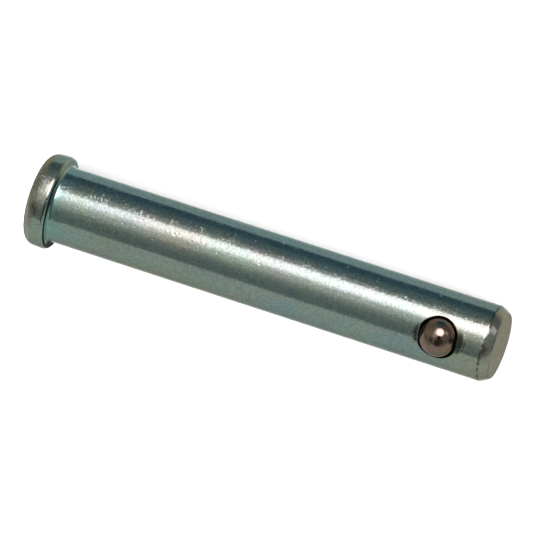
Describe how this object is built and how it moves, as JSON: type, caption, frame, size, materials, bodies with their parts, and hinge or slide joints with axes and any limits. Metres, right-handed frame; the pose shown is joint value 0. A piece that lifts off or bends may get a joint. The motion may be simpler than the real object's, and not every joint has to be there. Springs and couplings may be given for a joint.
{
  "type": "hitch lock pin",
  "caption": "Zinc-plated headed steel lock pin with a chamfered tip and a spring-loaded detent ball set in a blind hole near the tip.",
  "frame": {"origin": "centre of the head's underside, on the pin's axis", "axes": "+X along the shank from the head to the tip, +Z out through the detent ball, +Y to the left of a viewer who looks from the head to the tip with the ball up"},
  "size_m": [0.0802, 0.0156, 0.0164],
  "materials": {
    "zinc_plate": "satin, clear-passivated zinc plate",
    "ball_steel": "polished dark bearing steel",
    "spring_wire": "drawn spring wire"
  },
  "bodies": {
    "pin": {"pin_body": "zinc_plate", "detent_spring": "spring_wire"},
    "ball": {"detent_ball": "ball_steel"}
  },
  "joints": [
    {"name": "ball_press", "type": "slide", "parent": "pin", "child": "ball", "axis": [0, 0, 1], "range_m": [-0.0022, 0], "stiffness_N_per_m": 3400, "springref_m": 0.002, "deforming": ["detent_spring"]}
  ]
}
